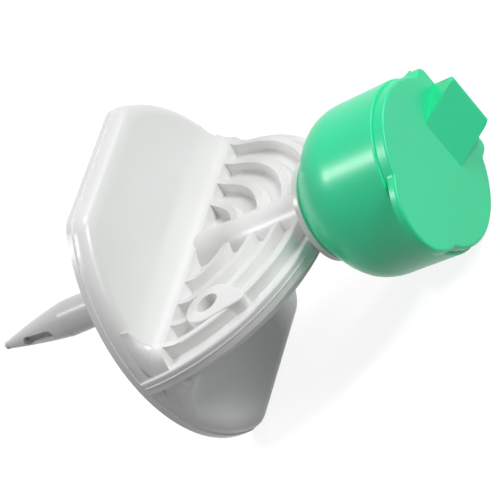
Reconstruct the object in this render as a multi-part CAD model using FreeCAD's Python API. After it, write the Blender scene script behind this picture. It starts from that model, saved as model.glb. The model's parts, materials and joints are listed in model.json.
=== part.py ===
import FreeCAD, Part
import math
import os

os.makedirs("parts", exist_ok=True)
V = FreeCAD.Vector

# The part is drawn with its own axes and turned into its lying position at the end.
# Own axes: X runs along the spike towards the cap, Y towards the lid hinge,
# Z out of the ribbed face of the housing. X = 0 is the top floor of the shield.

# Shield
shield_r = 19.85
shield_half_width = 17.25
shield_corner_r = 4.0
shield_height = 2.8
shield_wall = 1.2
shield_edge_r = 1.7
shield_inner_edge_r = 0.8
band_height = 0.8
band_proud = 0.2
band_edge_r = 0.12

# Spike
spike_r = 2.2
tip_x = -29.5
cone_length = 9.8
cone_start_x = tip_x + cone_length
tip_r = 0.42
tip_bend = -0.3
root_fillet = 0.8
lumen_wall = 0.6
lumen_r = spike_r - lumen_wall
septum = 0.5
lumen_tip_x = tip_x + 2.9
port_width = 1.3
port_inner_y = 0.3
port_reach = 0.8
air_port_x0 = tip_x + 3.3
air_port_length = 4.6
fluid_port_x0 = tip_x + 2.1
fluid_port_length = 3.8

# Housing flange: a thin round rim in the X-Y plane, in two halves that meet at Z = 0
flange_proud = 0.25
flange_r = shield_r + flange_proud
flange_x = -1.3
flange_back = 1.12
flange_front = 0.88
flange_edge_r = 0.3

# Raised round faces of the housing
rim_width = 2.25
disc_r = flange_r - rim_width
disc_x = -0.3
disc_z = 2.34
disc_draft = 0.25
disc_edge_r = 0.3
seat_x = 2.12
blend_r = 4.0
rim_blend_r = 2.2
rim_blend_inset = 1.2

# Concentric ribs, by how far inside the raised face each groove ends
groove_insets = (11.2, 7.6, 4.15, 0.75)
rib_inner_r = tuple(disc_r - inset for inset in groove_insets)
rib_width = 0.78
groove_depth = 1.14
groove_floor_z = disc_z - groove_depth
groove_draft = 0.22
groove_round = 0.28

# Spine over the fluid channel
spine_r = 3.1
channel_r = 1.0
channel_start_x = 3.8
air_duct_end_x = 3.0

# Filter chambers inside the housing
chamber_inset = 1.95
chamber_r = disc_r - chamber_inset
chamber_x0 = 2.6
chamber_y0 = spine_r + 0.2
back_wall = 1.09
chamber_floor_z = back_wall - disc_z
chamber_roof_z = 0.3
ledge_width = 0.7
ledge_depth = 0.36
filter_thickness = 0.22
filter_gap = 0.08
support_insets = (9.7, 6.5, 3.3)
support_r = tuple(chamber_r - inset for inset in support_insets)
support_width = 0.6
support_slot = 1.6
support_slot_x = 6.0

# Air inlet boss
boss_x = 6.6
boss_inset = 5.55
boss_y = boss_inset - disc_r
boss_r = 2.95
boss_rise = 0.18
boss_z = disc_z + boss_rise
boss_hole_r = 1.4
boss_tail_x = boss_x + 4.4
boss_tail_y = boss_y - 1.0
boss_tail_r = 1.0
boss_edge_r = 0.25

# Neck, collar and locking socket inside the cap
collar_x1 = flange_x + flange_r + 0.2
collar_thickness = 0.8
collar_x0 = collar_x1 - collar_thickness
neck_x = collar_x1 - 2.0
neck_r = 3.1
collar_r = 6.1
bead_gap = 0.12
bead_r = neck_r + 0.4
bead_length = 0.8
socket_r = 2.9
socket_length = 10.5
socket_mouth_x = collar_x1 + socket_length
socket_mouth_r = 2.15
socket_taper = 0.06
socket_depth = 8.0
lug_rise = 1.0
lug_r = socket_r + lug_rise
lug_length = 1.3
lug_width = 4.4
socket_edge_r = 0.15

# Cap cup
cup_foot_r = 6.12
cup_foot_bevel = 0.3
cup_length = 13.6
cup_rim_x = collar_x1 + cup_length
cup_rim_r = 10.34
cup_curve = tuple((collar_x1 + along, cup_rim_r - inside)
                  for along, inside in ((1.4, 2.98), (2.6, 1.74), (3.8, 0.87), (5.3, 0.34)))
cup_wall_x = collar_x1 + 7.0
cup_wall_r = cup_rim_r - 0.18
cup_rim_edge_r = 0.2
cup_wall = 1.15
cup_floor = 1.2
cup_hole_gap = 0.15
cup_flat_inset = 0.64
cup_flat_y = cup_rim_r - cup_flat_inset
bracket_top_half = 6.6
bracket_low_half = 3.6
bracket_low_x = collar_x1 + 5.6
bracket_y0 = cup_rim_r - 5.34
bracket_edge_r = 0.6

# Cap lid
lid_gap = 0.0
lid_thickness = 1.46
lid_r = cup_rim_r - 0.32
lid_edge_r = 0.35
ear_half = bracket_top_half
ear_corner_r = 1.1
lip_r = 6.0
lip_y = 3.62 - lid_r
lip_blend_r = 1.2
lip_thickness = 1.0
ramp_half = 3.5
ramp_y0 = 2.8
ramp_rise = 2.4
ramp_land = 0.5
ramp_edge_r = 0.3
plug_gap = 0.3
plug_wall = 0.8
plug_depth = 1.5
hinge_r = 0.3
hinge_gap = 0.06
hinge_half = 3.2

# Lid opening range in degrees
lid_open = 150.0

# A length that reaches past every edge of the part, for cutting tools
far = 2 * (socket_mouth_x - tip_x)


def box(x0, x1, y0, y1, z0, z1):
    return Part.makeBox(x1 - x0, y1 - y0, z1 - z0, V(x0, y0, z0))


def rod(x0, x1, r, y=0.0, z=0.0):
    return Part.makeCylinder(r, x1 - x0, V(x0, y, z), V(1, 0, 0))


def plate(x, y, r, z0, z1):
    return Part.makeCylinder(r, z1 - z0, V(x, y, z0), V(0, 0, 1))


def lathe(points, axis_point=V(0, 0, 0), axis=V(1, 0, 0)):
    wire = Part.makePolygon(points + [points[0]])
    return Part.Face(wire).revolve(axis_point, axis, 360)


def round_edges(shape, radius, wanted):
    edges = [edge for edge in shape.Edges if wanted(edge)]
    if not edges:
        return shape
    try:
        rounded = shape.makeFillet(radius, edges)
        if rounded.isValid() and rounded.Volume > 0:
            return rounded
    except Exception:
        pass
    print("edge round left off: radius", radius, "on", len(edges), "edges")
    return shape


def in_box(edge, x0, x1, y0, y1, z0, z1):
    b = edge.BoundBox
    t = 1e-4
    return (b.XMin > x0 - t and b.XMax < x1 + t and b.YMin > y0 - t
            and b.YMax < y1 + t and b.ZMin > z0 - t and b.ZMax < z1 + t)


def shield_block(radius, half_width, corner_r, x0, x1):
    block = rod(x0, x1, radius).common(
        box(x0, x1, -radius - 1, radius + 1, -half_width, half_width))

    def corner(edge):
        b = edge.BoundBox
        return b.XLength > 0.9 * (x1 - x0) and b.YLength < 1e-4 and b.ZLength < 1e-4

    return round_edges(block, corner_r, corner)


def at_x(edge, x):
    b = edge.BoundBox
    return abs(b.XMin - x) < 1e-4 and abs(b.XMax - x) < 1e-4


def frustum_z(x, r_low, z_low, r_high, z_high):
    return Part.makeCone(r_low, r_high, abs(z_high - z_low), V(x, 0, z_low),
                         V(0, 0, 1 if z_high > z_low else -1))


def make_shield():
    outer = shield_block(shield_r, shield_half_width, shield_corner_r, -shield_height, 0)
    outer = round_edges(outer, shield_edge_r, lambda e: at_x(e, 0))
    band = shield_block(shield_r + band_proud, shield_half_width + band_proud,
                        shield_corner_r, -shield_height, -shield_height + band_height)
    band = round_edges(band, band_edge_r, lambda e: at_x(e, -shield_height + band_height))
    return outer.fuse(band)


def make_shield_hollow():
    inner = shield_block(shield_r - shield_wall, shield_half_width - shield_wall,
                         shield_corner_r - shield_wall, -shield_height - 1, -shield_wall)
    return round_edges(inner, shield_inner_edge_r, lambda e: at_x(e, -shield_wall))


def make_spike():
    shaft = rod(cone_start_x, 0.5, spike_r)
    low = Part.Wire(Part.makeCircle(spike_r, V(cone_start_x, 0, 0), V(1, 0, 0)))
    mid_x = 0.5 * (cone_start_x + tip_x)
    mid_r = 0.5 * (spike_r + tip_r) + 0.12
    mid = Part.Wire(Part.makeCircle(mid_r, V(mid_x, 0.4 * tip_bend, 0), V(1, 0, 0)))
    end_x = tip_x + 0.7 * tip_r
    end = Part.Wire(Part.makeCircle(tip_r, V(end_x, tip_bend, 0), V(1, 0, 0)))
    cone = Part.makeLoft([low, mid, end], True, False)
    nose = Part.makeSphere(tip_r * 1.22, V(tip_x + tip_r * 1.22, tip_bend, 0))
    spike = shaft.fuse([cone, nose])
    root = lathe([V(-shield_wall - root_fillet, 0, 0), V(-shield_wall - root_fillet, spike_r, 0),
                  V(-shield_wall - 0.3 * root_fillet, spike_r + 0.3 * root_fillet, 0),
                  V(-shield_wall, spike_r + root_fillet, 0), V(0, spike_r + root_fillet, 0),
                  V(0, 0, 0)])
    return spike.fuse(root)


def half_lumen(side, x0, x1):
    bore = rod(x0, x1, lumen_r)
    if side > 0:
        return bore.common(box(x0, x1, septum / 2, lumen_r, -lumen_r, lumen_r))
    return bore.common(box(x0, x1, -lumen_r, -septum / 2, -lumen_r, lumen_r))


def tapered_lumen(side, x_tip, x1):
    near = half_lumen(side, cone_start_x, x1)
    scale = 0.45
    y0 = side * septum / 2
    y_far = side * lumen_r
    wide = [V(cone_start_x, y0, -0.9), V(cone_start_x, y_far * 0.82, -0.6),
            V(cone_start_x, y_far * 0.82, 0.6), V(cone_start_x, y0, 0.9)]
    slim = [V(x_tip, y0, -0.9 * scale), V(x_tip, side * 0.62, -0.6 * scale),
            V(x_tip, side * 0.62, 0.6 * scale), V(x_tip, y0, 0.9 * scale)]
    wires = [Part.makePolygon(loop + [loop[0]]) for loop in (wide, slim)]
    return near.fuse(Part.makeLoft(wires, True, True))


def side_port(side, x0, x1):
    y0 = side * port_inner_y
    y1 = side * (spike_r + port_reach)
    half = port_width / 2
    span = box(x0 + half, x1 - half, min(y0, y1), max(y0, y1), -half, half)
    ends = [Part.makeCylinder(half, abs(y1 - y0), V(x, y0, 0), V(0, side, 0))
            for x in (x0 + half, x1 - half)]
    return span.fuse(ends)


def chamber(side, r, z0, z1, inset=0.0):
    y_near = chamber_y0 + inset
    cut = plate(disc_x, 0, r, z0, z1)
    if side > 0:
        return cut.common(box(chamber_x0 + inset, far, y_near, far, z0, z1))
    return cut.common(box(chamber_x0 + inset, far, -far, -y_near, z0, z1))


def make_chamber_supports(side):
    parts = []
    for r in support_r:
        ring = plate(disc_x, 0, r + support_width, chamber_floor_z, -ledge_depth)
        parts.append(ring.cut(plate(disc_x, 0, r, chamber_floor_z, -ledge_depth)))
    ribs = parts[0].fuse(parts[1:])
    ribs = ribs.common(chamber(side, chamber_r, chamber_floor_z, -ledge_depth))
    slot = box(support_slot_x, support_slot_x + support_slot, -far, far,
               chamber_floor_z, -ledge_depth)
    near = box(chamber_x0, chamber_x0 + support_slot, -far, far, chamber_floor_z, -ledge_depth)
    return ribs.cut(slot.fuse(near))


def raised_disc_back():
    block = frustum_z(disc_x, disc_r + disc_draft, 0, disc_r, -disc_z)
    block = round_edges(block, disc_edge_r, lambda e: in_box(e, -far, far, -far, far, -disc_z, -disc_z))
    return block.common(box(-0.5, far, -far, far, -disc_z, 0))


def blend(z_face, radius, sign, fence):
    # A hollow-cornered strip from the shield's floor up to a housing face, kept inside the fence.
    reach = disc_r + disc_draft + 4
    corner = box(-0.4, radius, -reach, reach, min(sign * z_face, sign * (z_face + radius)),
                 max(sign * z_face, sign * (z_face + radius)))
    low = box(-0.4, radius, -reach, reach, min(0, sign * z_face), max(0, sign * z_face))
    scoop = Part.makeCylinder(radius, 2 * reach + 2, V(radius, -reach - 1, sign * (z_face + radius)),
                              V(0, 1, 0))
    return corner.cut(scoop).fuse(low).common(fence)


def blends(sign):
    z_far = sign * (disc_z + blend_r + 1)
    disc_fence = plate(disc_x, 0, disc_r, min(0, z_far), max(0, z_far))
    rim_fence = plate(flange_x, 0, flange_r - rim_blend_inset, min(0, z_far), max(0, z_far))
    rim_z = flange_front if sign > 0 else flange_back
    return blend(disc_z, blend_r, sign, disc_fence), blend(rim_z, rim_blend_r, sign, rim_fence)


def make_socket():
    outer = rod(collar_x1 - 0.2, socket_mouth_x, socket_r)
    outer = round_edges(outer, socket_edge_r, lambda e: at_x(e, socket_mouth_x))
    neck = rod(neck_x, collar_x1 + cup_floor + bead_gap, neck_r)
    collar = rod(collar_x0, collar_x1, collar_r)
    collar = round_edges(collar, 0.15, lambda e: at_x(e, collar_x0) or at_x(e, collar_x1))
    bead_x = collar_x1 + cup_floor + bead_gap
    bead = lathe([V(bead_x, 0, 0), V(bead_x, bead_r, 0), V(bead_x + 0.25, bead_r, 0),
                  V(bead_x + bead_length, socket_r, 0), V(bead_x + bead_length, 0, 0)])
    lugs = rod(socket_mouth_x - lug_length, socket_mouth_x, lug_r).common(
        box(socket_mouth_x - lug_length, socket_mouth_x, -lug_r, lug_r,
            -lug_width / 2, lug_width / 2))
    lugs = round_edges(lugs, 0.12, lambda e: at_x(e, socket_mouth_x))
    return outer.fuse([neck, collar, bead, lugs])


def make_socket_bore():
    end_r = socket_mouth_r - socket_taper * socket_depth / 2
    taper = Part.makeCone(end_r, socket_mouth_r, socket_depth,
                          V(socket_mouth_x - socket_depth, 0, 0), V(1, 0, 0))
    mouth = rod(socket_mouth_x - 0.01, socket_mouth_x + 1, socket_mouth_r)
    channel = rod(channel_start_x, socket_mouth_x - socket_depth + 0.1, channel_r)
    ramp = Part.makeCone(channel_r, end_r, 0.9, V(socket_mouth_x - socket_depth - 0.9, 0, 0),
                         V(1, 0, 0))
    return taper.fuse([mouth, channel, ramp])


def make_body():
    flange_low = -shield_height + band_height
    back_rim = plate(flange_x, 0, flange_r, -flange_back, 0)
    back_rim = round_edges(back_rim, flange_edge_r,
                           lambda e: in_box(e, -far, far, -far, far, -flange_back, -flange_back))
    back_rim = back_rim.common(box(flange_low, far, -far, far, -flange_back, 0))
    front_rim = plate(flange_x, 0, flange_r, 0, flange_front)
    front_rim = round_edges(front_rim, flange_edge_r,
                            lambda e: in_box(e, -far, far, -far, far, flange_front, flange_front))
    front_rim = front_rim.common(box(flange_low, seat_x, -far, far, 0, flange_front))
    sill = frustum_z(disc_x, disc_r + disc_draft, 0, disc_r, disc_z)
    sill = sill.common(box(-0.4, seat_x, -far, far, 0, disc_z))
    spine = rod(0, neck_x + 0.5, spine_r).common(box(0, far, -far, far, -spine_r, 0))
    seat_side = box(-1, seat_x, -far, far, 0, far)
    front_blends = [strip.common(seat_side) for strip in blends(1)]
    spine_end = rod(0, seat_x, spine_r).common(box(0, far, -far, far, 0, spine_r))
    body = make_shield().fuse([back_rim, front_rim, sill, raised_disc_back(), spine, spine_end,
                               make_socket()] + front_blends + list(blends(-1)))
    body = body.cut(make_shield_hollow())
    body = body.fuse(make_spike())
    for side in (-1, 1):
        body = body.cut(chamber(side, chamber_r, chamber_floor_z, 0.01))
        body = body.cut(chamber(side, chamber_r + ledge_width, -ledge_depth, 0.01,
                                -ledge_width))
        body = body.fuse(make_chamber_supports(side))
    body = body.cut(tapered_lumen(-1, lumen_tip_x, air_duct_end_x))
    body = body.cut(tapered_lumen(1, lumen_tip_x - 0.6, channel_start_x + 0.4))
    duct = box(air_duct_end_x - 1.1, air_duct_end_x + 0.4, -chamber_y0 - 0.6, -septum / 2 - 0.3,
               chamber_floor_z, -ledge_depth - 0.1)
    body = body.cut(duct)
    body = body.cut(side_port(-1, air_port_x0, air_port_x0 + air_port_length))
    body = body.cut(side_port(1, fluid_port_x0, fluid_port_x0 + fluid_port_length))
    body = body.cut(make_socket_bore())
    return body.removeSplitter()


def groove_ring(r0, r1):
    top = disc_z + blend_r
    lean = groove_draft
    a0 = max(r0, 0.0)
    inner = a0 + lean if r0 > 0 else 0.0
    points = [V(disc_x + a0, 0, top)]
    if r0 > 0:
        points.append(V(disc_x + a0, 0, disc_z))
    if r0 > 0:
        points.append(V(disc_x + inner, 0, groove_floor_z + groove_round))
        points.append(V(disc_x + inner + 0.3 * groove_round, 0, groove_floor_z + 0.3 * groove_round))
        points.append(V(disc_x + inner + groove_round, 0, groove_floor_z))
    else:
        points.append(V(disc_x, 0, groove_floor_z))
    outer = r1 - lean
    points.append(V(disc_x + outer - groove_round, 0, groove_floor_z))
    points.append(V(disc_x + outer - 0.3 * groove_round, 0, groove_floor_z + 0.3 * groove_round))
    points.append(V(disc_x + outer, 0, groove_floor_z + groove_round))
    points.append(V(disc_x + r1, 0, disc_z))
    points.append(V(disc_x + r1, 0, top))
    ring = lathe(points, V(disc_x, 0, 0), V(0, 0, 1))
    return ring.common(box(seat_x - 0.5, far, -far, far, 0, far))


def teardrop(r, tail_r, z0, z1):
    dx = boss_tail_x - boss_x
    dy = boss_tail_y - boss_y
    reach = math.hypot(dx, dy)
    heading = math.atan2(dy, dx)
    turn = math.acos((r - tail_r) / reach)
    corners = []
    for cx, cy, cr, s in ((boss_x, boss_y, r, 1), (boss_tail_x, boss_tail_y, tail_r, 1),
                          (boss_tail_x, boss_tail_y, tail_r, -1), (boss_x, boss_y, r, -1)):
        a = heading + s * turn
        corners.append(V(cx + cr * math.cos(a), cy + cr * math.sin(a), z0))
    web = Part.Face(Part.makePolygon(corners + [corners[0]])).extrude(V(0, 0, z1 - z0))
    return plate(boss_x, boss_y, r, z0, z1).fuse(
        [plate(boss_tail_x, boss_tail_y, tail_r, z0, z1), web]).removeSplitter()


def make_cover():
    rim = plate(flange_x, 0, flange_r, 0, flange_front)
    rim = round_edges(rim, flange_edge_r,
                      lambda e: in_box(e, -far, far, -far, far, flange_front, flange_front))
    disc = frustum_z(disc_x, disc_r + disc_draft, 0, disc_r, disc_z)
    disc = round_edges(disc, disc_edge_r, lambda e: in_box(e, -far, far, -far, far, disc_z, disc_z))
    cover = rim.fuse([disc] + list(blends(1)))
    starts = [0.0] + [r + rib_width for r in rib_inner_r[:-1]]
    for r0, r1 in zip(starts, rib_inner_r):
        cover = cover.cut(groove_ring(r0, r1))
    spine = rod(seat_x - 0.5, neck_x + 0.5, spine_r)
    boss = teardrop(boss_r, boss_tail_r, groove_floor_z - 0.3, boss_z)
    boss = round_edges(boss, boss_edge_r, lambda e: in_box(e, -far, far, -far, far, boss_z, boss_z))
    cover = cover.fuse([spine, boss])
    cover = cover.common(box(seat_x, collar_x0, -far, far, 0, far))
    for side in (-1, 1):
        cover = cover.cut(chamber(side, chamber_r, -0.01, chamber_roof_z))
    cover = cover.cut(plate(boss_x, boss_y, boss_hole_r, 0, boss_z + 1))
    cover = cover.cut(rod(seat_x - 1, neck_x + 2, channel_r))
    cover = cover.cut(half_lumen(-1, -1, air_duct_end_x).fuse(
        half_lumen(1, -1, channel_start_x + 0.4)))
    cover = cover.cut(rod(neck_x, collar_x0 + 1, neck_r))
    return cover.removeSplitter()


def make_filter():
    z1 = -filter_gap
    sheet = chamber(-1, chamber_r + ledge_width - filter_gap, z1 - filter_thickness, z1,
                    -ledge_width + filter_gap)
    return sheet


def cup_curve_points(offset):
    points = [(collar_x1 + cup_foot_bevel, cup_foot_r)] + list(cup_curve)
    points.append((cup_wall_x, cup_wall_r))
    moved = []
    for i, (x, r) in enumerate(points):
        x0, r0 = points[max(i - 1, 0)]
        x1, r1 = points[min(i + 1, len(points) - 1)]
        length = math.hypot(x1 - x0, r1 - r0)
        nx, nr = (r1 - r0) / length, -(x1 - x0) / length
        moved.append(V(x + offset * nx, r + offset * nr, 0))
    moved[-1] = V(cup_wall_x, cup_wall_r - offset, 0)
    return moved


def cup_solid(offset, foot, rim_x):
    points = cup_curve_points(offset)
    if foot is not None:
        points = [p for p in points if p.x > foot.x + 0.2]
        points = [foot] + points
    curve = Part.BSplineCurve()
    curve.interpolate(points)
    rim = V(cup_rim_x, cup_rim_r - offset, 0)
    corners = [rim]
    if rim_x > cup_rim_x:
        corners.append(V(rim_x, rim.y, 0))
    corners.append(V(rim_x, 0, 0))
    if foot is None:
        corners.append(V(collar_x1, 0, 0))
        corners.append(V(collar_x1, cup_foot_r - cup_foot_bevel, 0))
    else:
        corners.append(V(foot.x, 0, 0))
    corners.append(points[0])
    edges = [curve.toShape()]
    last = points[-1]
    for corner in corners:
        edges.append(Part.LineSegment(last, corner).toShape())
        last = corner
    return Part.Face(Part.Wire(edges)).revolve(V(0, 0, 0), V(1, 0, 0), 360)


def make_cup():
    outer = cup_solid(0.0, None, cup_rim_x)
    outer = round_edges(outer, cup_rim_edge_r, lambda e: at_x(e, cup_rim_x))
    low = [V(bracket_low_x, bracket_y0, -bracket_low_half), V(cup_rim_x, bracket_y0, -bracket_top_half),
           V(cup_rim_x, bracket_y0, bracket_top_half), V(bracket_low_x, bracket_y0, bracket_low_half)]
    bracket = Part.Face(Part.makePolygon(low + [low[0]])).extrude(V(0, cup_flat_y - bracket_y0, 0))
    bracket = round_edges(bracket, bracket_edge_r, lambda e: e.BoundBox.YMin > cup_flat_y - 0.01
                          and e.BoundBox.XLength > 2)
    outer = outer.fuse(bracket)
    outer = outer.common(box(0, far, -far, cup_flat_y, -far, far))
    inner_foot = V(collar_x1 + cup_floor, cup_foot_r - 0.4, 0)
    inner = cup_solid(cup_wall, inner_foot, cup_rim_x + 1)
    inner = inner.common(box(0, far, -far, cup_flat_y - cup_wall, -far, far))
    cup = outer.cut(inner)
    cup = cup.cut(rod(collar_x1 - 1, collar_x1 + cup_floor + 1, neck_r + cup_hole_gap))
    bead = Part.makeCylinder(hinge_r, 2 * hinge_half, V(cup_rim_x, cup_flat_y, -hinge_half),
                             V(0, 0, 1))
    return cup.fuse(bead).removeSplitter()


def lid_profile(x):
    disc = rod(x, x + lid_thickness, lid_r)
    ears = box(x, x + lid_thickness, 0, cup_flat_y, -ear_half, ear_half)
    ears = round_edges(ears, ear_corner_r, lambda e: e.BoundBox.XLength > 1
                       and e.BoundBox.YMin > cup_flat_y - 0.01)
    lip_x = x + lid_thickness - lip_thickness
    lip = rod(lip_x, x + lid_thickness, lip_r, lip_y, 0)
    return disc.common(box(x, far, -far, cup_flat_y, -far, far)).fuse(ears), lip


def make_lid():
    x0 = cup_rim_x + lid_gap
    x1 = x0 + lid_thickness
    base, lip = lid_profile(x0)
    lid = base.fuse(lip).removeSplitter()

    def concave(edge):
        b = edge.BoundBox
        return (b.YLength < 1e-4 and b.ZLength < 1e-4 and b.XLength > 0.5 * lip_thickness
                and b.YMax < lip_y and abs(b.ZMin) > 0.5 * lip_r)

    lid = round_edges(lid, lip_blend_r, concave)
    lid = round_edges(lid, lid_edge_r, lambda e: at_x(e, x1))
    profile = [V(x1 - 0.2, ramp_y0 - 0.4, -ramp_half), V(x1, ramp_y0, -ramp_half),
               V(x1 + ramp_rise, cup_flat_y - ramp_land, -ramp_half),
               V(x1 + ramp_rise, cup_flat_y, -ramp_half), V(x1 - 0.9, cup_flat_y, -ramp_half),
               V(x1 - 0.9, ramp_y0, -ramp_half)]
    ramp = Part.Face(Part.makePolygon(profile + [profile[0]])).extrude(V(0, 0, 2 * ramp_half))
    ramp = round_edges(ramp, ramp_edge_r, lambda e: e.BoundBox.XMin > x1 + ramp_rise - 0.01)
    plug_r = cup_rim_r - cup_wall - plug_gap
    plug = rod(x0 - plug_depth, x0 + 0.2, plug_r)
    plug = plug.common(box(0, far, -far, cup_flat_y - cup_wall - plug_gap, -far, far))
    plug = round_edges(plug, 0.25, lambda e: at_x(e, x0 - plug_depth))
    hollow = rod(x0 - plug_depth - 1, x0, plug_r - plug_wall)
    hollow = hollow.common(box(0, far, -far, cup_flat_y - cup_wall - plug_gap - plug_wall,
                               -far, far))
    lid = lid.fuse([ramp, plug.cut(hollow)])
    hinge = Part.makeCylinder(hinge_r + hinge_gap, 2 * hinge_half + 1,
                              V(cup_rim_x, cup_flat_y, -hinge_half - 0.5), V(0, 0, 1))
    return lid.cut(hinge).removeSplitter()


def lying_angle():
    # The part rests on the shield's band and on the cap: a line under two small rounds.
    ax = -shield_height + band_height - band_edge_r
    az = shield_half_width + band_proud - band_edge_r
    best = None
    for bx, bz, br in ((cup_rim_x - cup_rim_edge_r, cup_rim_r - cup_rim_edge_r, cup_rim_edge_r),
                       (cup_rim_x + lid_thickness - lid_edge_r, lid_r - lid_edge_r, lid_edge_r)):
        reach = math.hypot(bx - ax, az - bz)
        angle = math.atan2(az - bz, bx - ax) + math.asin((band_edge_r - br) / reach)
        best = angle if best is None else min(best, angle)
    drop = math.sin(best) * ax + math.cos(best) * az + band_edge_r
    return best, drop


def finish_shapes():
    shapes = {"spike_body": make_body(), "filter_cover": make_cover(),
              "air_filter": make_filter(), "cap_cup": make_cup(), "cap_lid": make_lid()}
    angle, drop = lying_angle()
    placed = {}
    for name, shape in shapes.items():
        turned = shape.copy()
        turned.rotate(V(0, 0, 0), V(0, 1, 0), math.degrees(angle))
        placed[name] = turned
    whole = Part.makeCompound(list(placed.values()))
    b = whole.optimalBoundingBox(False)
    shift = V(-(b.XMin + b.XMax) / 2, -(b.YMin + b.YMax) / 2, drop)
    for name, shape in placed.items():
        shape.translate(shift)
        shape.exportStep("parts/" + name + ".step")
        print(name, "valid", shape.isValid(), "solids", len(shape.Solids),
              "volume", round(shape.Volume, 2))
    print("box z", round(b.ZMin + drop, 4), round(b.ZMax + drop, 4),
          "x", round(b.XLength, 4), "y", round(b.YLength, 4))
    print("lying angle", round(math.degrees(angle), 5), "shift",
          [round(v, 5) for v in shift], "drop", round(drop, 5))

    def place(x, y, z):
        c, s = math.cos(angle), math.sin(angle)
        return [round((x * c + z * s + shift.x) / 1000, 7), round((y + shift.y) / 1000, 7),
                round((-x * s + z * c + shift.z) / 1000, 7)]

    def turn(x, y, z):
        c, s = math.cos(angle), math.sin(angle)
        return [round(x * c + z * s, 7), y, round(-x * s + z * c, 7)]

    print("spike pin at", place(-11, 0, 0), "axis", turn(-1, 0, 0))
    print("socket mouth", place(socket_mouth_x - socket_depth / 2, 0, 0), "axis", turn(1, 0, 0))
    print("lid hinge", place(cup_rim_x, cup_flat_y, 0), "axis", turn(0, 0, 1))
    return placed


finish_shapes()
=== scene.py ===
import bpy
import bmesh
import json
import math
from mathutils import Matrix, Vector


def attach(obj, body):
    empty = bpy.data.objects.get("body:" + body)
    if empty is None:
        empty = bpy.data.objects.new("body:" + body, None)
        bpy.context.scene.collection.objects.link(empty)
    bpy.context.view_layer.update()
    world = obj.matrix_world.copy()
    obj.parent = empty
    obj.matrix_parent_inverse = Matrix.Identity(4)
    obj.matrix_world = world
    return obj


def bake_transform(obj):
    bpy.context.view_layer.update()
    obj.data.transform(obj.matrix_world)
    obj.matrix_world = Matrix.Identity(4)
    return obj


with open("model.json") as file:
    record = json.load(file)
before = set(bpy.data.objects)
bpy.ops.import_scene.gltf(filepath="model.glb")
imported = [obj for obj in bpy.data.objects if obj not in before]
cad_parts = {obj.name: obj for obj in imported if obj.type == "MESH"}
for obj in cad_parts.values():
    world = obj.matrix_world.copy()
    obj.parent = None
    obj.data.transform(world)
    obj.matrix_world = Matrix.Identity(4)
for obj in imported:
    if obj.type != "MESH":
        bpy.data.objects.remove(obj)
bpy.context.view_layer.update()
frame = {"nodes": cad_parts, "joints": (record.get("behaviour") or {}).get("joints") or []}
print("frame loaded:", sorted(frame["nodes"]))

# The spike's own axes: X along the spike towards the cap, Y towards the lid's hinge, Z out of the ribbed
# face. The lid's hinge runs along Z, so its axis and place in the frame give the turn and the shift.
hinge = [j for j in frame["joints"] if j["name"] == "lid_hinge"][0]
hingeAt = (32.6, 9.7, 0.0)  # the same point on the spike's own axes, mm
lyingAngle = math.atan2(hinge["axis"][0], hinge["axis"][2])
turnRow = Matrix.Rotation(lyingAngle, 3, "Y")
shiftRow = Vector(hinge["pos_m"]) * 1000 - turnRow @ Vector(hingeAt)


def rowPoint(x, y, z):
    return (turnRow @ Vector((x, y, z)) + shiftRow) / 1000  # own axes in mm to the frame in m


def rowTurn(x, y, z):
    return turnRow @ Vector((x, y, z))


outOfFace = rowTurn(0, 0, 1)


def srgbToLinear(hexColour):
    channels = [int(hexColour[i:i + 2], 16) / 255 for i in (1, 3, 5)]
    return tuple(c / 12.92 if c <= 0.04045 else ((c + 0.055) / 1.055) ** 2.4 for c in channels) + (1.0,)


def addNode(tree, kind, settings=None, links=None):
    node = tree.nodes.new(kind)
    for key, value in (settings or {}).items():
        if isinstance(key, int) or key in node.inputs:
            node.inputs[key].default_value = value
        else:
            setattr(node, key, value)
    for key, source in (links or {}).items():
        tree.links.new(source, node.inputs[key])
    return node


def newMaterial(name):
    material = bpy.data.materials.new(name)
    material.use_nodes = True
    tree = material.node_tree
    tree.nodes.clear()
    return material, tree


def perMetre(millimetres):
    return 1000.0 / millimetres  # a noise scale whose cells are this many mm across


mouldedPlastic = {
    "grainMm": 0.35,  # spark-eroded mould texture is near 0.05 mm; drawn coarser so that it shows
    "grainDepthMm": 0.012,
    "grainStrength": 0.05,
    "flowMm": 9.0,  # slow drift of the colour along the melt's flow, and the walls' faint waviness
    "flowShare": 0.55,
    "waveDepthMm": 0.05,
    "waveStrength": 0.02,
    "sheenMm": 2.6,
    "scatterM": 0.0012,  # how far light spreads inside the wall
    "coatRoughness": 0.12,
}


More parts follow.
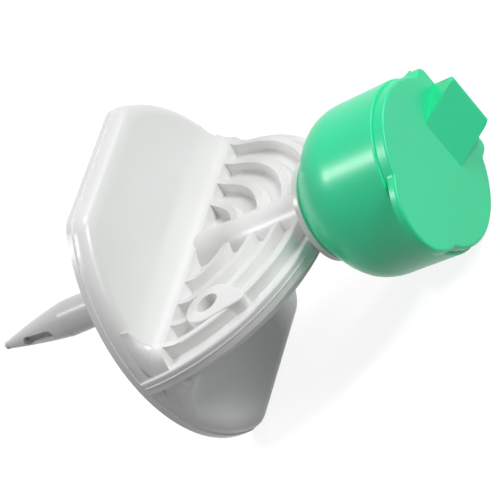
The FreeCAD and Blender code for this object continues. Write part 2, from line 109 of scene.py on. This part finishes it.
def mouldedMaterial(name, baseHex, deepHex, roughness, scatter, scatterHex, ior, coat):
    material, tree = newMaterial(name)
    where = addNode(tree, "ShaderNodeTexCoord")
    flow = addNode(tree, "ShaderNodeTexNoise",
                   {"Scale": perMetre(mouldedPlastic["flowMm"]), "Detail": 0.0},
                   {"Vector": where.outputs["Object"]})
    flowAmount = addNode(tree, "ShaderNodeMapRange",
                         {"From Min": 0.3, "From Max": 0.7, "To Min": 0.0,
                          "To Max": mouldedPlastic["flowShare"]},
                         {"Value": flow.outputs["Fac"]})
    colour = addNode(tree, "ShaderNodeMix", {"data_type": "RGBA"})
    colour.inputs[6].default_value = srgbToLinear(baseHex)
    colour.inputs[7].default_value = srgbToLinear(deepHex)
    tree.links.new(flowAmount.outputs["Result"], colour.inputs[0])
    sheen = addNode(tree, "ShaderNodeTexNoise",
                    {"Scale": perMetre(mouldedPlastic["sheenMm"]), "Detail": 1.0, "Roughness": 0.5},
                    {"Vector": where.outputs["Object"]})
    gloss = addNode(tree, "ShaderNodeMapRange",
                    {"From Min": 0.25, "From Max": 0.75, "To Min": roughness - 0.01,
                     "To Max": roughness + 0.02},
                    {"Value": sheen.outputs["Fac"]})
    grain = addNode(tree, "ShaderNodeTexNoise",
                    {"Scale": perMetre(mouldedPlastic["grainMm"]), "Detail": 2.0, "Roughness": 0.5},
                    {"Vector": where.outputs["Object"]})
    fine = addNode(tree, "ShaderNodeBump",
                   {"Strength": mouldedPlastic["grainStrength"],
                    "Distance": mouldedPlastic["grainDepthMm"] / 1000},
                   {"Height": grain.outputs["Fac"]})
    wave = addNode(tree, "ShaderNodeBump",
                   {"Strength": mouldedPlastic["waveStrength"],
                    "Distance": mouldedPlastic["waveDepthMm"] / 1000},
                   {"Height": flow.outputs["Fac"], "Normal": fine.outputs["Normal"]})
    shader = addNode(tree, "ShaderNodeBsdfPrincipled",
                     {"IOR": ior, "Coat Weight": coat, "Coat Roughness": mouldedPlastic["coatRoughness"],
                      "Subsurface Weight": scatter, "Subsurface Scale": mouldedPlastic["scatterM"],
                      "Subsurface Radius": srgbToLinear(scatterHex)[:3]},
                     {"Base Color": colour.outputs[2], "Roughness": gloss.outputs["Result"],
                      "Normal": wave.outputs["Normal"]})
    addNode(tree, "ShaderNodeOutputMaterial", links={"Surface": shader.outputs["BSDF"]})
    return material


# Medical ABS, injection moulded in a polished tool: an opaque cool white with a soft satin gloss.
whiteAbs = mouldedMaterial("whiteMedicalAbs", "#F0F0EF", "#EDEDEC", 0.29, 0.06, "#FFF4E8", 1.54, 0.08)
# The cover is the same ABS from another tool, a touch paler and less glossy.
whiteCoverAbs = mouldedMaterial("whiteMedicalAbsCover", "#F1F1F0", "#EEEEED", 0.34, 0.06, "#FFF4E8",
                                1.54, 0.08)
# Polypropylene with green masterbatch: milky, slightly see-through at thin edges, waxy satin gloss.
greenPp = mouldedMaterial("greenPolypropylene", "#2CEFAC", "#2AEAA7", 0.30, 0.18, "#8CFFC8", 1.49, 0.06)
# The lid is a second moulding of it, a shade deeper and a little duller.
greenLidPp = mouldedMaterial("greenPolypropyleneLid", "#26ECA9", "#25E8A5", 0.34, 0.16, "#8CFFC8",
                             1.49, 0.05)
# The same polypropylene stretched thin at the film hinge, where it turns paler.
filmPp = mouldedMaterial("polypropyleneFilm", "#7BE3B6", "#62D9A6", 0.34, 0.3, "#8CFFC8", 1.49, 0.06)

airFilter = {"fibreHex": "#F2F2EE", "gapHex": "#DADAD4", "webMm": 0.4, "webDepthMm": 0.03}


def membraneMaterial():
    # Expanded PTFE air filter: a matt white sheet with a fibrous web. The real web is finer than
    # 0.01 mm, so it is drawn coarser.
    material, tree = newMaterial("expandedPtfe")
    where = addNode(tree, "ShaderNodeTexCoord")
    web = addNode(tree, "ShaderNodeTexVoronoi", {"Scale": perMetre(airFilter["webMm"])},
                  {"Vector": where.outputs["Object"]})
    colour = addNode(tree, "ShaderNodeMix", {"data_type": "RGBA"})
    colour.inputs[6].default_value = srgbToLinear(airFilter["fibreHex"])
    colour.inputs[7].default_value = srgbToLinear(airFilter["gapHex"])
    tree.links.new(web.outputs["Distance"], colour.inputs[0])
    bump = addNode(tree, "ShaderNodeBump", {"Strength": 0.3, "Distance": airFilter["webDepthMm"] / 1000},
                   {"Height": web.outputs["Distance"]})
    shader = addNode(tree, "ShaderNodeBsdfPrincipled", {"Roughness": 0.85, "IOR": 1.38},
                     {"Base Color": colour.outputs[2], "Normal": bump.outputs["Normal"]})
    addNode(tree, "ShaderNodeOutputMaterial", links={"Surface": shader.outputs["BSDF"]})
    return material


membrane = membraneMaterial()
print("materials ready")


def dressNode(name, material):
    mesh = frame["nodes"][name].data
    mesh.materials.clear()
    mesh.materials.append(material)


dressNode("spike_body", whiteAbs)
dressNode("filter_cover", whiteCoverAbs)
dressNode("air_filter", membrane)
dressNode("cap_cup", greenPp)
dressNode("cap_lid", greenLidPp)
print("CAD nodes dressed")


def makePiece(name, bm, material):
    bmesh.ops.recalc_face_normals(bm, faces=bm.faces)
    mesh = bpy.data.meshes.new(name)
    bm.to_mesh(mesh)
    bm.free()
    for face in mesh.polygons:
        face.use_smooth = True
    piece = bpy.data.objects.new(name, mesh)
    bpy.context.collection.objects.link(piece)
    mesh.materials.append(material)
    return piece


def bridgeRings(bm, low, high):
    around = len(low)
    for k in range(around):
        bm.faces.new((low[k], low[(k + 1) % around], high[(k + 1) % around], high[k]))


# A tube along the points. It is squashed along up, and a closed one joins its last ring to its first.
def tubeAlong(bm, points, radius, sides, up, closed=False, squash=1.0):
    rings = []
    count = len(points)
    for i, point in enumerate(points):
        if closed:
            ahead, behind = points[(i + 1) % count], points[i - 1]
        else:
            ahead, behind = points[min(i + 1, count - 1)], points[max(i - 1, 0)]
        along = (ahead - behind).normalized()
        side = along.cross(up).normalized()
        lift = side.cross(along).normalized()
        ring = []
        for k in range(sides):
            a = 2 * math.pi * k / sides
            ring.append(bm.verts.new(point + side * radius * math.cos(a)
                                     + lift * radius * squash * math.sin(a)))
        rings.append(ring)
    for i in range(count if closed else count - 1):
        bridgeRings(bm, rings[i], rings[(i + 1) % count])
    if not closed:
        bm.faces.new(list(reversed(rings[0])))
        bm.faces.new(rings[-1])


# Weld bead where the two halves of the housing meet round the flange's edge, mm.
weldBead = {"flangeR": 20.1, "centreX": -1.3, "fromX": -1.9, "toX": 17.6, "beadR": 0.16, "sunk": 0.07,
            "steps": 96, "sides": 8}


def buildWeldBead():
    bm = bmesh.new()
    start, end = [math.acos((weldBead[key] - weldBead["centreX"]) / weldBead["flangeR"])
                  for key in ("fromX", "toX")]
    r = weldBead["flangeR"] - weldBead["sunk"]
    for side in (-1, 1):
        points = []
        for i in range(weldBead["steps"] + 1):
            a = start + (end - start) * i / weldBead["steps"]
            points.append(rowPoint(weldBead["centreX"] + r * math.cos(a), side * r * math.sin(a), 0.0))
        tubeAlong(bm, points, weldBead["beadR"] / 1000, weldBead["sides"], outOfFace)
    return makePiece("weldBead", bm, whiteAbs)


bead = buildWeldBead()
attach(bead, "spike")

# Where the housing runs out on the shield's rounded edge, a sloping cheek closes the ends of the blends.
cheek = {
    "seatX": 2.05, "discX": -0.3, "discR": 17.85, "discZ": 2.34, "blendR": 4.0,  # where the blend runs
    "flangeX": -1.3, "flangeR": 19.75, "flangeEndX": -0.2, "flangeEndR": 19.70,  # just inside the flange
    "frontZ": 0.88, "backZ": 1.12,  # the flange's two faces
    "crestR": 18.15, "edgeRound": 1.7, "edgeX": -0.95, "topZ": 7.1,  # up the shield's rounded edge
    "sunk": 0.03,  # how deep the outer rim sits in the surfaces under it
    "overlap": 0.8, "tuckIn": 0.1, "tuckDown": 0.01,  # how far the inner rim reaches under the blend
    "shoulder": 1.4, "shoulderShare": 0.75, "ridge": 0.45,  # how full the slope is
    "turnAt": 0.45, "turnPace": 3,  # where the rim leaves the flange, and how soon it is on the edge
    "tipFrom": 0.85, "tipLift": 0.07, "tipReach": 0.22,  # the top end laps a little over the shield's edge
    "innerX": 2.05, "innerRun": 2.85, "innerY": 16.6, "innerZ": 0.5, "innerRise": 4.8,  # closes it inside
    "hingeSideReach": 0.62,  # the hinge side's cheeks end lower, to stay inside the shield's outline
    "alongSteps": 40, "acrossSteps": 16, "sharpDegrees": 35,
}


def cheekRow(u, rim):
    # u runs up the blend from 0 to 1; a row goes from the blend, over its end, to the flange or the edge.
    x0 = cheek["seatX"] * (1 - u)
    reach = cheek["blendR"]
    y0 = math.sqrt(cheek["discR"] ** 2 - (x0 - cheek["discX"]) ** 2)
    z0 = cheek["discZ"] + reach - math.sqrt(reach ** 2 - (reach - x0) ** 2)
    last = max(0.0, (u - cheek["tipFrom"]) / (1 - cheek["tipFrom"]))
    x0 += cheek["tipLift"] * last
    z0 += cheek["tipReach"] * last
    turn = cheek["turnAt"]
    if u < turn:
        x1 = cheek["seatX"] + (cheek["flangeEndX"] - cheek["seatX"]) * u / turn
        z1 = rim - cheek["sunk"]
        y1 = math.sqrt(cheek["flangeR"] ** 2 - (x1 - cheek["flangeX"]) ** 2)
    else:
        t = (u - turn) / (1 - turn)
        pace = cheek["turnPace"] * t
        x1 = cheek["flangeEndX"] + (cheek["edgeX"] - cheek["flangeEndX"]) * min(1.0, pace)
        z1 = rim - cheek["sunk"] + (cheek["topZ"] - rim) * t
        roundR = cheek["edgeRound"]
        onEdge = cheek["crestR"] + math.sqrt(roundR ** 2 - (roundR + cheek["edgeX"]) ** 2)
        r1 = onEdge - cheek["sunk"] + (cheek["flangeEndR"] - onEdge) * max(0.0, 1 - pace)
        y1 = math.sqrt(r1 ** 2 - z1 ** 2)
    start = (x0, y0 - cheek["overlap"] * (1 - u) - cheek["tuckIn"], z0 - cheek["tuckDown"])
    bend = (x0, y0 + min(cheek["shoulder"], cheek["shoulderShare"] * (y1 - y0)),
            z0 + cheek["ridge"] * (1 - u))
    end = (x1, y1, z1)
    row = []
    for k in range(cheek["acrossSteps"] + 1):
        s = k / cheek["acrossSteps"]
        row.append(tuple((1 - s) ** 2 * a + 2 * s * (1 - s) * b + s * s * c
                         for a, b, c in zip(start, bend, end)))
    row.append((cheek["innerX"] - cheek["innerRun"] * u, cheek["innerY"],
                cheek["innerZ"] + cheek["innerRise"] * u))
    return row


def buildCheeks():
    bm = bmesh.new()
    steps = cheek["alongSteps"]
    for side, reach in ((-1, 1.0), (1, cheek["hingeSideReach"])):
        for face, rim in ((1, cheek["frontZ"]), (-1, cheek["backZ"])):
            rows = [[bm.verts.new(rowPoint(x, side * y, face * z))
                     for x, y, z in cheekRow(reach * i / steps, rim)] for i in range(steps + 1)]
            for low, high in zip(rows, rows[1:]):
                bridgeRings(bm, low, high)
            bm.faces.new(rows[0])
            bm.faces.new(list(reversed(rows[-1])))
    piece = makePiece("blendCheeks", bm, whiteAbs)
    piece.data.set_sharp_from_angle(angle=math.radians(cheek["sharpDegrees"]))
    return piece


cheeks = buildCheeks()
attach(cheeks, "spike")

# Film hinge: a thin strap over the cup's hinge bead, moulded with the cup and the lid, mm.
hingeFilm = {
    "halfWidth": 3.1, "thickness": 0.16, "cupX": 31.5, "lidX": 33.5, "backY": 9.74,
    "bulge": 0.3, "bulgeHalfX": 0.55,  # over the bead
    "endsPerFade": 6, "endTuck": 0.06,  # the ends thin out over a sixth of the strap and dip into the walls
    "bendHalfX": 0.35,  # the stretch that bends
    "steps": 18, "across": 12,
}


def buildHingeFilm():
    bm = bmesh.new()
    layers = []
    steps, across = hingeFilm["steps"], hingeFilm["across"]
    for outer in (0, 1):
        rows = []
        for i in range(steps + 1):
            t = i / steps
            x = hingeFilm["cupX"] + (hingeFilm["lidX"] - hingeFilm["cupX"]) * t
            rise = math.exp(-((x - hingeAt[0]) / hingeFilm["bulgeHalfX"]) ** 2) * hingeFilm["bulge"]
            fade = min(1.0, hingeFilm["endsPerFade"] * min(t, 1 - t))
            y = (hingeFilm["backY"] + rise + outer * hingeFilm["thickness"] * fade
                 - (1 - fade) * hingeFilm["endTuck"])
            row = []
            for k in range(across + 1):
                z = -hingeFilm["halfWidth"] + 2 * hingeFilm["halfWidth"] * k / across
                row.append(bm.verts.new(rowPoint(x, y, z)))
            rows.append(row)
        layers.append(rows)
    inner, outer = layers
    for i in range(steps):
        for k in range(across):
            bm.faces.new((inner[i][k], inner[i][k + 1], inner[i + 1][k + 1], inner[i + 1][k]))
            bm.faces.new((outer[i][k], outer[i + 1][k], outer[i + 1][k + 1], outer[i][k + 1]))
    for i in range(steps):
        for k in (0, across):
            bm.faces.new((inner[i][k], inner[i + 1][k], outer[i + 1][k], outer[i][k]))
    for i in (0, steps):
        for k in range(across):
            bm.faces.new((inner[i][k], outer[i][k], outer[i][k + 1], inner[i][k + 1]))
    return makePiece("hingeFilm", bm, filmPp)


film = buildHingeFilm()
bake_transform(film)

# Marks that the mould leaves on the back of the housing: ejector-pin rings and a gate stub, mm.
mouldMarks = {
    "backZ": -2.34,
    "pins": ((9.5, -8.0), (9.5, 8.0), (3.6, -13.0), (3.6, 13.0)),
    "pinR": 1.3, "ringR": 0.05, "ringSquash": 0.7, "ringSteps": 48, "ringSides": 6,
    "gateX": 4.2, "gateY": 7.5, "gateR": 0.7, "gateHeight": 0.12, "gateSteps": 32,
    # the stub's height and radius, as shares of gateHeight and gateR, from its root to its torn middle
    "gateProfile": ((0.1, 1.0), (0.0, 1.0), (-0.7, 0.92), (-1.0, 0.7), (-0.9, 0.45), (-1.05, 0.2)),
    "gateLobes": 3, "gateWobble": 0.05,
}


def buildMouldMarks():
    bm = bmesh.new()
    z = mouldMarks["backZ"]
    for x, y in mouldMarks["pins"]:
        points = []
        for i in range(mouldMarks["ringSteps"]):
            a = 2 * math.pi * i / mouldMarks["ringSteps"]
            points.append(rowPoint(x + mouldMarks["pinR"] * math.cos(a),
                                   y + mouldMarks["pinR"] * math.sin(a), z))
        tubeAlong(bm, points, mouldMarks["ringR"] / 1000, mouldMarks["ringSides"], outOfFace,
                  closed=True, squash=mouldMarks["ringSquash"])
    rings = []
    for height, radius in mouldMarks["gateProfile"]:
        ring = []
        for i in range(mouldMarks["gateSteps"]):
            a = 2 * math.pi * i / mouldMarks["gateSteps"]
            wobble = 1 + mouldMarks["gateWobble"] * math.sin(mouldMarks["gateLobes"] * a)
            r = mouldMarks["gateR"] * radius * wobble
            ring.append(bm.verts.new(rowPoint(mouldMarks["gateX"] + r * math.cos(a),
                                              mouldMarks["gateY"] + r * math.sin(a),
                                              z + height * mouldMarks["gateHeight"])))
        rings.append(ring)
    for low, high in zip(rings, rings[1:]):
        bridgeRings(bm, low, high)
    bm.faces.new(rings[-1])
    bm.faces.new(list(reversed(rings[0])))
    return makePiece("mouldMarks", bm, whiteAbs)


marks = buildMouldMarks()
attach(marks, "spike")
print("moulding details built")

# Studio: the surround is dim and the floor mid grey as light on the part, and both are white where they
# are seen, so that the floor keeps the part's shadow.
studio = {"floorHex": "#8E8E8E", "floorLift": 0.87, "floorSize": 6.0, "floorCells": 12,
          "surroundStrength": 0.15}


def seenRays(tree):
    path = addNode(tree, "ShaderNodeLightPath")
    seen = addNode(tree, "ShaderNodeMath", {"operation": "MAXIMUM"},
                   {0: path.outputs["Is Camera Ray"], 1: path.outputs["Is Glossy Ray"]})
    seenAll = addNode(tree, "ShaderNodeMath", {"operation": "MAXIMUM"},
                      {0: seen.outputs[0], 1: path.outputs["Is Transmission Ray"]})
    return seenAll.outputs[0]


def buildFloor():
    bm = bmesh.new()
    half = studio["floorSize"] / 2
    cells = studio["floorCells"]
    grid = [[bm.verts.new((-half + 2 * half * i / cells, -half + 2 * half * j / cells, 0))
             for j in range(cells + 1)] for i in range(cells + 1)]
    for i in range(cells):
        for j in range(cells):
            bm.faces.new((grid[i][j], grid[i + 1][j], grid[i + 1][j + 1], grid[i][j + 1]))
    mesh = bpy.data.meshes.new("studioFloor")
    bm.to_mesh(mesh)
    bm.free()
    floor = bpy.data.objects.new("studioFloor", mesh)
    bpy.context.collection.objects.link(floor)
    # Matt painted board, which gives the shadow.
    material, tree = newMaterial("paleStudioFloor")
    diffuse = addNode(tree, "ShaderNodeBsdfDiffuse", {"Color": srgbToLinear(studio["floorHex"])})
    lift = addNode(tree, "ShaderNodeEmission", {"Color": (1, 1, 1, 1), "Strength": studio["floorLift"]})
    both = addNode(tree, "ShaderNodeAddShader", links={0: diffuse.outputs[0], 1: lift.outputs[0]})
    pick = addNode(tree, "ShaderNodeMixShader",
                   links={0: seenRays(tree), 1: diffuse.outputs[0], 2: both.outputs[0]})
    addNode(tree, "ShaderNodeOutputMaterial", links={"Surface": pick.outputs[0]})
    mesh.materials.append(material)


buildFloor()

world = bpy.data.worlds.new("whiteSurround")
bpy.context.scene.world = world
world.use_nodes = True
world.node_tree.nodes.clear()
level = addNode(world.node_tree, "ShaderNodeMapRange",
                {"To Min": studio["surroundStrength"], "To Max": 1.0}, {"Value": seenRays(world.node_tree)})
surround = addNode(world.node_tree, "ShaderNodeBackground", {"Color": (1, 1, 1, 1)},
                   {"Strength": level.outputs["Result"]})
addNode(world.node_tree, "ShaderNodeOutputWorld", links={"Surface": surround.outputs[0]})

# Camera fitted to the photograph, on the spike's own axes, mm
cameraFit = {"at": (234.7472, -305.4883, 191.098), "right": (0.778973, 0.209642, -0.590974),
             "up": (0.328536, 0.666298, 0.669411), "back": (0.534102, -0.71561, 0.450153),
             "lens": 270.918, "sensor": 36.0, "nearM": 0.01, "farM": 50.0}
cameraData = bpy.data.cameras.new("photoCamera")
cameraData.lens = cameraFit["lens"]
cameraData.sensor_width = cameraFit["sensor"]
cameraData.sensor_height = cameraFit["sensor"]
cameraData.sensor_fit = "HORIZONTAL"
cameraData.clip_start = cameraFit["nearM"]
cameraData.clip_end = cameraFit["farM"]
camera = bpy.data.objects.new("photoCamera", cameraData)
bpy.context.collection.objects.link(camera)
facing = Matrix([rowTurn(*cameraFit[k]) for k in ("right", "up", "back")]).transposed()
camera.matrix_world = Matrix.Translation(rowPoint(*cameraFit["at"])) @ facing.to_4x4()
bpy.context.scene.camera = camera

# Lamps placed by the camera's own directions: how far right, up and towards the camera they stand, m
lamps = {
    "leftLamp": {"right": -0.92, "up": 0.2, "back": 0.31, "size": 0.22, "watts": 3.0},
    "topLamp": {"right": 0.0, "up": 1.0, "back": 0.2, "size": 0.4, "watts": 3.2},
    "frontLamp": {"right": 0.3, "up": 0.7, "back": 0.65, "size": 0.35, "watts": 3.8},
    "rightLamp": {"right": 0.5, "up": 0.35, "back": 0.8, "size": 0.35, "watts": 0.9},
}
lampAim = rowPoint(4, 0, 0)  # the middle of the housing
lampLowest = 0.06  # m above the floor


def placeLamp(name, lamp):
    data = bpy.data.lights.new(name, "AREA")
    data.shape = "DISK"
    data.size = lamp["size"]
    data.energy = lamp["watts"]
    lampObject = bpy.data.objects.new(name, data)
    bpy.context.collection.objects.link(lampObject)
    at = lampAim + (facing.col[0] * lamp["right"] + facing.col[1] * lamp["up"]
                    + facing.col[2] * lamp["back"])
    at.z = max(at.z, lampLowest)
    lampObject.location = at
    lampObject.rotation_euler = (lampAim - at).to_track_quat("-Z", "Y").to_euler()


for lampName, lamp in lamps.items():
    placeLamp(lampName, lamp)

bpy.context.scene.view_settings.view_transform = "Standard"
print("studio ready")

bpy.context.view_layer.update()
